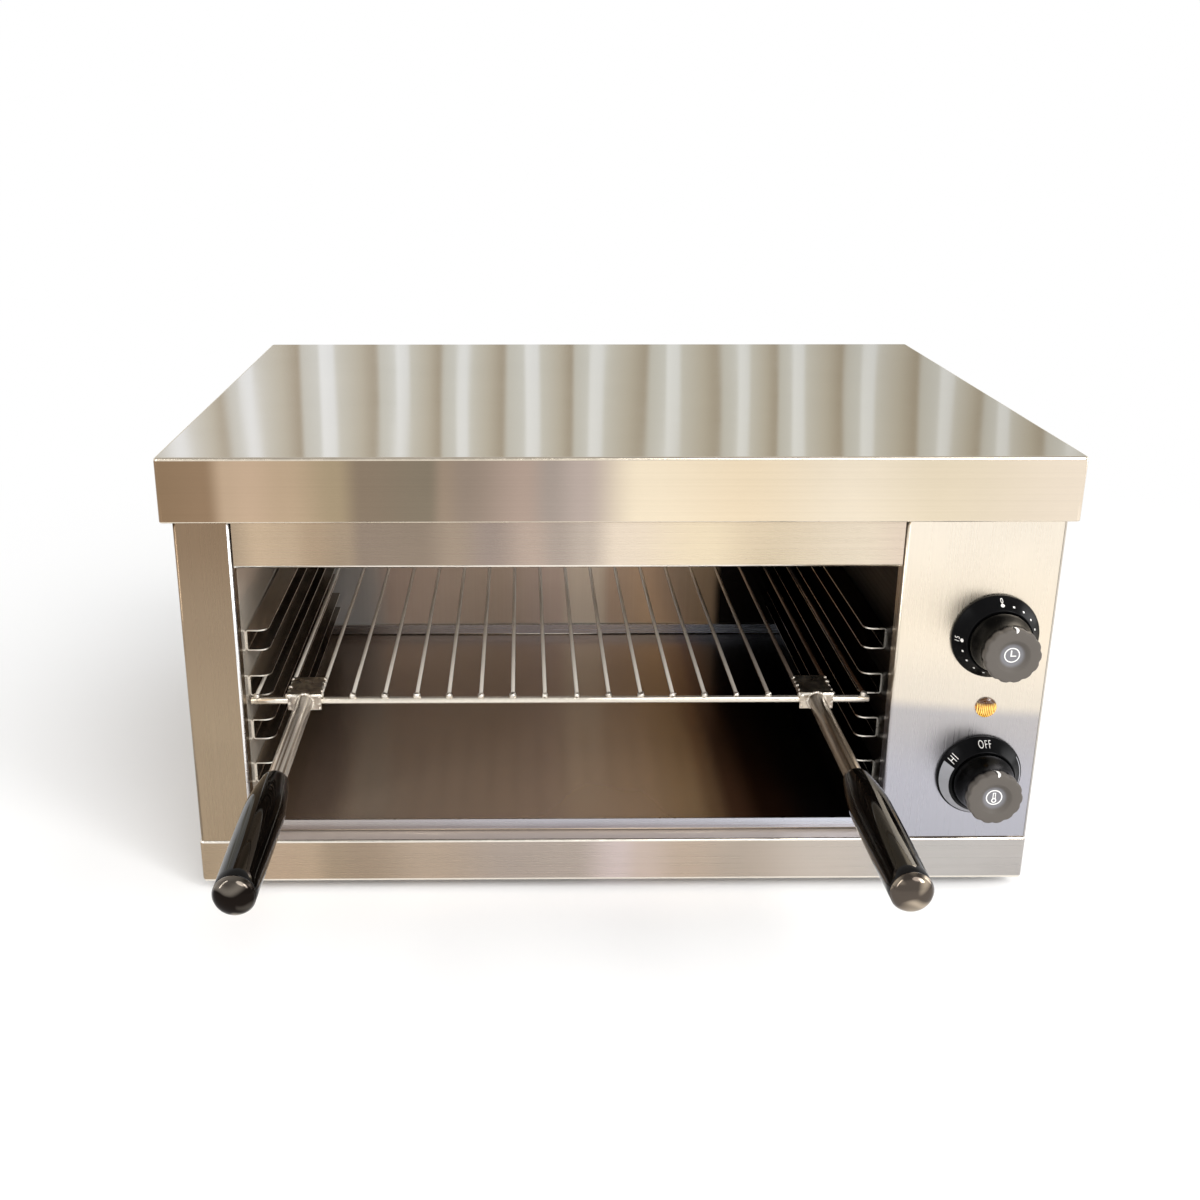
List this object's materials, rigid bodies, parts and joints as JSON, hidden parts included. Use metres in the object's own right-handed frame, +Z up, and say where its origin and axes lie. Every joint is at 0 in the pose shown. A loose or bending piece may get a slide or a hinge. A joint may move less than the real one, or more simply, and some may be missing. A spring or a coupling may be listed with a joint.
{
  "type": "cheese melter",
  "caption": "Countertop cheese melter: open-fronted stainless grill cabinet with a wire rack that slides on side runners, two long handles, crumb tray and two dials.",
  "frame": {"origin": "middle of the bounding box in plan, on the plane that the feet stand on", "axes": "+X to the right seen from the front, +Y to the back, +Z up; the handles point to -Y"},
  "size_m": [0.6, 0.7018, 0.318],
  "materials": {
    "cover_steel": "brushed stainless sheet, directional polish across the width",
    "body_steel": "brushed stainless sheet",
    "panel_steel": "brushed stainless sheet",
    "base_steel": "brushed stainless sheet",
    "liner_steel": "bright annealed stainless sheet, mirror-like",
    "reflector_steel": "polished stainless sheet",
    "runner_steel": "folded stainless sheet",
    "tray_steel": "polished stainless sheet",
    "rack_chrome": "bright plated wire",
    "bracket_steel": "sheet, heat tinted beside the welds",
    "tube_chrome": "polished tube",
    "grip_black": "glossy moulded phenolic",
    "cap_black": "glossy moulded phenolic",
    "element_sheath": "heat darkened sheath",
    "bush_brass": "turned brass",
    "terminal_ceramic": "fired ceramic bead and steel pin",
    "blanket_fibre": "ceramic fibre blanket",
    "dial_black": "satin moulded plastic, printed white",
    "knob_grey": "satin moulded plastic",
    "pilot_amber": "ribbed translucent lens",
    "switch_body": "moulded plastic",
    "shaft_steel": "ground rod",
    "copper_bulb": "drawn copper",
    "wire_insulation": "silicone insulated wire",
    "screw_steel": "plated steel",
    "gland_nylon": "moulded nylon",
    "foot_rubber": "moulded rubber"
  },
  "bodies": {
    "cabinet": {"base_pan": "base_steel", "feet": "foot_rubber", "foot_screws": "screw_steel", "left_side_panel": "body_steel", "right_side_panel": "body_steel", "control_panel": "panel_steel", "header_panel": "body_steel", "back_panel": "body_steel", "back_screws": "screw_steel", "top_cover": "cover_steel", "cover_screws": "screw_steel", "left_liner": "liner_steel", "right_liner": "liner_steel", "rear_liner": "liner_steel", "ceiling_reflector": "reflector_steel", "insulation_blanket": "blanket_fibre", "runner_left_1": "runner_steel", "runner_left_2": "runner_steel", "runner_left_3": "runner_steel", "runner_left_4": "runner_steel", "runner_right_1": "runner_steel", "runner_right_2": "runner_steel", "runner_right_3": "runner_steel", "runner_right_4": "runner_steel", "heating_element_front": "element_sheath", "heating_element_middle": "element_sheath", "heating_element_rear": "element_sheath", "element_hanger_left": "runner_steel", "element_hanger_right": "runner_steel", "element_bushes": "bush_brass", "element_terminals": "terminal_ceramic", "timer_bezel": "dial_black", "timer_body": "switch_body", "thermostat_bezel": "dial_black", "thermostat_body": "switch_body", "control_screws": "screw_steel", "thermostat_bulb": "copper_bulb", "capillary_tube": "copper_bulb", "pilot_lens": "pilot_amber", "pilot_body": "switch_body", "terminal_block": "switch_body", "wiring_loom": "wire_insulation", "cable_gland": "gland_nylon", "gland_nut": "gland_nylon"},
    "rack": {"rack_bars": "rack_chrome", "rack_wires": "rack_chrome", "rack_bracket_left": "bracket_steel", "rack_bracket_right": "bracket_steel", "handle_tube_left": "tube_chrome", "handle_tube_right": "tube_chrome", "handle_grip_left": "grip_black", "handle_grip_right": "grip_black", "handle_cap_left": "cap_black", "handle_cap_right": "cap_black"},
    "tray": {"crumb_tray": "tray_steel"},
    "timer_dial": {"timer_knob": "knob_grey", "timer_shaft": "shaft_steel"},
    "thermostat_dial": {"thermostat_knob": "knob_grey", "thermostat_shaft": "shaft_steel"}
  },
  "joints": [
    {"name": "rack_slide", "type": "slide", "parent": "cabinet", "child": "rack", "axis": [0, -1, 0], "range_m": [0, 0.34]},
    {"name": "tray_slide", "type": "slide", "parent": "cabinet", "child": "tray", "axis": [0, -1, 0], "range_m": [0, 0.36]},
    {"name": "timer_turn", "type": "hinge", "parent": "cabinet", "child": "timer_dial", "pos_m": [0.2528, -0.1161, 0.1945], "axis": [0, 1, 0], "range_deg": [0, 270]},
    {"name": "thermostat_turn", "type": "hinge", "parent": "cabinet", "child": "thermostat_dial", "pos_m": [0.2528, -0.1161, 0.0913], "axis": [0, 1, 0], "range_deg": [0, 305]}
  ]
}
